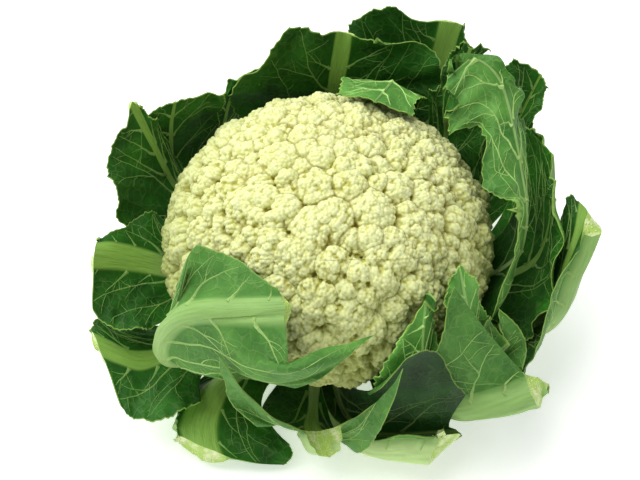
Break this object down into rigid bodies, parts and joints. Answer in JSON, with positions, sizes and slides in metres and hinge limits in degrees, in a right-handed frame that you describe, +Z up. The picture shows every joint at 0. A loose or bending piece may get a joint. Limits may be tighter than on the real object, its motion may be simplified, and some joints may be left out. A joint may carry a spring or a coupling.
{
  "type": "cauliflower",
  "caption": "Trimmed cauliflower standing on its cut stem: a pale domed head of florets in a rosette of cut green leaves with thick pale midribs.",
  "frame": {"origin": "centre of the stem's cut face, which the cauliflower stands on", "axes": "+Z up through the head; -Y is the side that the picture is taken from, +X is its right"},
  "size_m": [0.2461, 0.2119, 0.1361],
  "materials": {
    "curd": "matte, finely granular, cream",
    "stem": "smooth, moist pale green, matte on the cut",
    "leaf": "waxy satin green, with pale veins and midrib"
  },
  "bodies": {
    "root": {"curd": "curd", "stem": "stem", "leaf_small_right": "leaf", "leaf_small_front": "leaf", "leaf_small_back": "leaf", "leaf_right_curled": "leaf", "leaf_back_right": "leaf", "leaf_back_broad": "leaf", "leaf_front_right_inner": "leaf", "leaf_left_ribbed": "leaf", "leaf_left_pointed": "leaf", "leaf_back_left": "leaf", "leaf_back_narrow": "leaf", "leaf_left_folded": "leaf", "leaf_right_outer": "leaf", "leaf_front_right_stout": "leaf", "leaf_front_cup": "leaf", "leaf_front_centre": "leaf", "leaf_left_low": "leaf", "leaf_right_stout": "leaf", "leaf_back_right_point": "leaf", "leaf_back_outer": "leaf", "leaf_front_left_flat": "leaf"}
  },
  "joints": []
}
